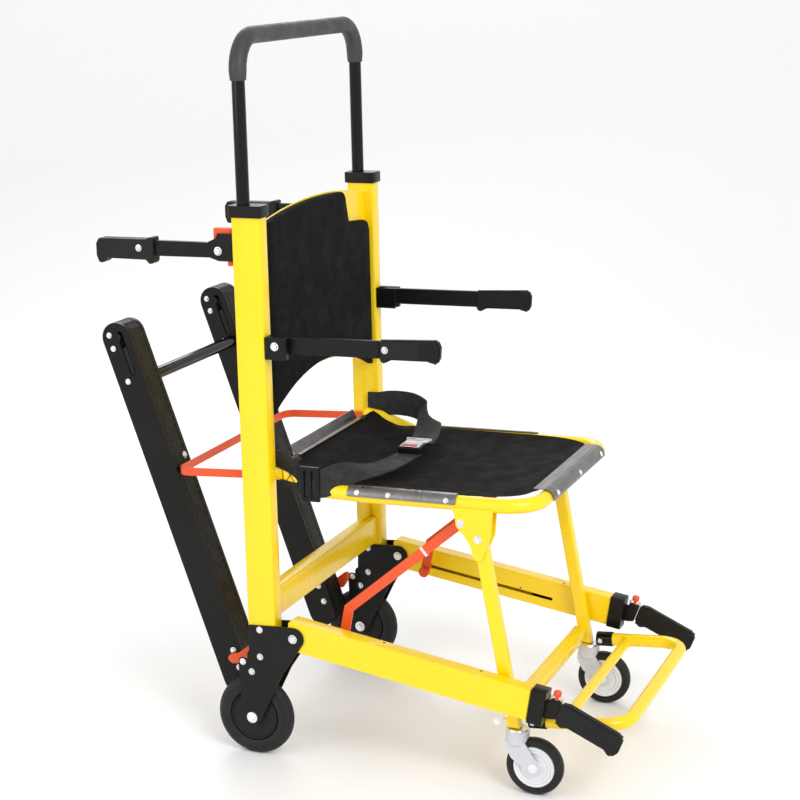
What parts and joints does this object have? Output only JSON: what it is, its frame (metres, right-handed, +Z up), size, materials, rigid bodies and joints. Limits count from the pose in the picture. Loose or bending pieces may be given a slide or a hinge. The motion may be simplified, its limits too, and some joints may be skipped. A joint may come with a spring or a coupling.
{
  "type": "evacuation stair chair",
  "caption": "folding stair evacuation chair with rear stair tracks, telescopic push handle, fold-out lift handles, armrests, swivel casters and a footrest",
  "frame": {"origin": "centre of the footprint's box, on the floor", "axes": "+Z up, the sitter faces -Y, the sitter's left side is +X; posts lean 2 degrees back"},
  "size_m": [0.517, 0.9663, 1.244],
  "materials": {
    "yellow_paint": "glossy powder coat",
    "black_paint": "satin powder coat",
    "orange_paint": "satin powder coat",
    "black_grip": "moulded rubber",
    "handle_tube": "gloss paint",
    "rubber": "dark grey rubber",
    "caster_plastic": "light grey moulding",
    "black_fabric": "coated woven fabric",
    "webbing": "woven belt webbing",
    "buckle": "satin plated steel"
  },
  "bodies": {
    "back_frame": {"back_post_left": "yellow_paint", "back_post_right": "yellow_paint", "post_cap_left": "black_paint", "post_cap_right": "black_paint", "rear_crossbar": "yellow_paint", "backrest_sheet": "yellow_paint", "backrest_pad": "black_fabric", "wheel_bracket_left": "black_paint", "wheel_bracket_right": "black_paint", "rear_handle_bracket_left": "black_paint", "rear_handle_bracket_right": "black_paint", "armrest_bracket_left": "black_paint", "armrest_bracket_right": "black_paint"},
    "upper_handle": {"upper_handle_tube": "handle_tube", "upper_handle_grip": "black_grip"},
    "lower_rails": {"lower_rail_left": "yellow_paint", "lower_rail_right": "yellow_paint", "front_clamp_left": "black_paint", "front_clamp_right": "black_paint"},
    "legs": {"seat_leg_left": "yellow_paint", "seat_leg_right": "yellow_paint", "leg_crossbar": "yellow_paint"},
    "footrest": {"footrest": "yellow_paint"},
    "seat": {"seat_frame": "yellow_paint", "seat_panel": "black_fabric", "belt_right": "webbing", "belt_left": "webbing", "belt_buckle": "buckle"},
    "fold_links": {"fold_link_left": "orange_paint", "fold_link_right": "orange_paint"},
    "tracks": {"track_beam_left": "black_paint", "track_beam_right": "black_paint", "track_belt_left": "rubber", "track_belt_right": "rubber", "track_cross_tube": "black_paint"},
    "track_brace": {"track_brace": "orange_paint"},
    "rear_wheel_left": {"rear_wheel_left": "rubber"},
    "rear_handle_left": {"rear_handle_lever_left": "black_paint", "rear_handle_grip_left": "black_grip"},
    "rear_latch_left": {"rear_handle_latch_left": "orange_paint"},
    "armrest_left": {"armrest_bar_left": "black_paint", "armrest_grip_left": "black_grip"},
    "front_handle_left": {"front_handle_bar_left": "black_paint", "front_handle_grip_left": "black_grip"},
    "front_knob_left": {"front_knob_left": "orange_paint"},
    "caster_left": {"caster_fork_left": "caster_plastic"},
    "caster_wheel_left": {"caster_wheel_left": "caster_plastic"},
    "track_latch_left": {"track_latch_left": "orange_paint"},
    "rear_wheel_right": {"rear_wheel_right": "rubber"},
    "rear_handle_right": {"rear_handle_lever_right": "black_paint", "rear_handle_grip_right": "black_grip"},
    "rear_latch_right": {"rear_handle_latch_right": "orange_paint"},
    "armrest_right": {"armrest_bar_right": "black_paint", "armrest_grip_right": "black_grip"},
    "front_handle_right": {"front_handle_bar_right": "black_paint", "front_handle_grip_right": "black_grip"},
    "front_knob_right": {"front_knob_right": "orange_paint"},
    "caster_right": {"caster_fork_right": "caster_plastic"},
    "caster_wheel_right": {"caster_wheel_right": "caster_plastic"},
    "track_latch_right": {"track_latch_right": "orange_paint"}
  },
  "joints": [
    {"name": "upper_handle_slide", "type": "slide", "parent": "back_frame", "child": "upper_handle", "axis": [0, 0.0349, 0.9994], "range_m": [-0.19, 0]},
    {"name": "fold", "type": "hinge", "parent": "back_frame", "child": "lower_rails", "pos_m": [0, 0.09918, 0.2258], "axis": [-1, 0, 0], "range_deg": [0, 73]},
    {"name": "seat_hinge", "type": "hinge", "parent": "back_frame", "child": "seat", "pos_m": [0, 0.15592, 0.50399], "axis": [-1, 0, 0], "range_deg": [0, 73]},
    {"name": "leg_hinge", "type": "hinge", "parent": "lower_rails", "child": "legs", "pos_m": [0, -0.27446, 0.1568], "axis": [-1, 0, 0], "range_deg": [-73, 0]},
    {"name": "footrest_hinge", "type": "hinge", "parent": "legs", "child": "footrest", "pos_m": [0, -0.31153, 0.12658], "axis": [-1, 0, 0], "range_deg": [0, 90]},
    {"name": "fold_link_hinge", "type": "hinge", "parent": "seat", "child": "fold_links", "pos_m": [0, -0.18738, 0.45845], "axis": [1, 0, 0], "range_deg": [0, 28]},
    {"name": "track_swing", "type": "hinge", "parent": "back_frame", "child": "tracks", "pos_m": [0, 0.22888, 0.11471], "axis": [1, 0, 0], "range_deg": [0, 11]},
    {"name": "track_brace_hinge", "type": "hinge", "parent": "back_frame", "child": "track_brace", "pos_m": [0, 0.18673, 0.49791], "axis": [1, 0, 0], "range_deg": [0, 77]},
    {"name": "rear_wheel_spin_left", "type": "hinge", "parent": "back_frame", "child": "rear_wheel_left", "pos_m": [0.24, 0.1768, 0.0703], "axis": [1, 0, 0], "continuous": true},
    {"name": "rear_handle_fold_left", "type": "hinge", "parent": "back_frame", "child": "rear_handle_left", "pos_m": [0.24, 0.23516, 0.88196], "axis": [-1, 0, 0], "range_deg": [0, 84]},
    {"name": "rear_latch_press_left", "type": "slide", "parent": "back_frame", "child": "rear_latch_left", "axis": [0, 0.0349, 0.9994], "range_m": [0, 0.003], "stiffness_N_per_m": 400},
    {"name": "armrest_fold_left", "type": "hinge", "parent": "back_frame", "child": "armrest_left", "pos_m": [0.24, 0.13183, 0.73097], "axis": [-1, 0, 0], "range_deg": [0, 85]},
    {"name": "front_handle_slide_left", "type": "slide", "parent": "lower_rails", "child": "front_handle_left", "axis": [0, -0.9913, -0.1316], "range_m": [0, 0.13]},
    {"name": "front_knob_pull_left", "type": "slide", "parent": "front_handle_left", "child": "front_knob_left", "axis": [0, -0.1316, 0.9913], "range_m": [0, 0.006], "stiffness_N_per_m": 300},
    {"name": "caster_swivel_left", "type": "hinge", "parent": "legs", "child": "caster_left", "pos_m": [0.21, -0.2902, 0.1125], "axis": [0, 0, 1], "continuous": true},
    {"name": "caster_spin_left", "type": "hinge", "parent": "caster_left", "child": "caster_wheel_left", "pos_m": [0.21, -0.3222, 0.0495], "axis": [1, 0, 0], "continuous": true},
    {"name": "track_latch_press_left", "type": "hinge", "parent": "back_frame", "child": "track_latch_left", "pos_m": [0.2155, 0.20244, 0.17417], "axis": [1, 0, 0], "range_deg": [0, 12], "stiffness_Nm_per_rad": 0.5},
    {"name": "rear_wheel_spin_right", "type": "hinge", "parent": "back_frame", "child": "rear_wheel_right", "pos_m": [-0.24, 0.1768, 0.0703], "axis": [1, 0, 0], "continuous": true},
    {"name": "rear_handle_fold_right", "type": "hinge", "parent": "back_frame", "child": "rear_handle_right", "pos_m": [-0.24, 0.23516, 0.88196], "axis": [-1, 0, 0], "range_deg": [0, 84]},
    {"name": "rear_latch_press_right", "type": "slide", "parent": "back_frame", "child": "rear_latch_right", "axis": [0, 0.0349, 0.9994], "range_m": [0, 0.003], "stiffness_N_per_m": 400},
    {"name": "armrest_fold_right", "type": "hinge", "parent": "back_frame", "child": "armrest_right", "pos_m": [-0.24, 0.13183, 0.73097], "axis": [-1, 0, 0], "range_deg": [0, 85]},
    {"name": "front_handle_slide_right", "type": "slide", "parent": "lower_rails", "child": "front_handle_right", "axis": [0, -0.9913, -0.1316], "range_m": [0, 0.13]},
    {"name": "front_knob_pull_right", "type": "slide", "parent": "front_handle_right", "child": "front_knob_right", "axis": [0, -0.1316, 0.9913], "range_m": [0, 0.006], "stiffness_N_per_m": 300},
    {"name": "caster_swivel_right", "type": "hinge", "parent": "legs", "child": "caster_right", "pos_m": [-0.21, -0.2902, 0.1125], "axis": [0, 0, 1], "continuous": true},
    {"name": "caster_spin_right", "type": "hinge", "parent": "caster_right", "child": "caster_wheel_right", "pos_m": [-0.21, -0.3222, 0.0495], "axis": [1, 0, 0], "continuous": true},
    {"name": "track_latch_press_right", "type": "hinge", "parent": "back_frame", "child": "track_latch_right", "pos_m": [-0.2155, 0.20244, 0.17417], "axis": [1, 0, 0], "range_deg": [0, 12], "stiffness_Nm_per_rad": 0.5}
  ],
  "couplings": [
    {"joint": "seat_hinge", "follows": "fold", "ratio": 1},
    {"joint": "leg_hinge", "follows": "fold", "ratio": -1},
    {"joint": "fold_link_hinge", "follows": "fold", "ratio": 0.374},
    {"joint": "track_brace_hinge", "follows": "track_swing", "ratio": 7}
  ]
}
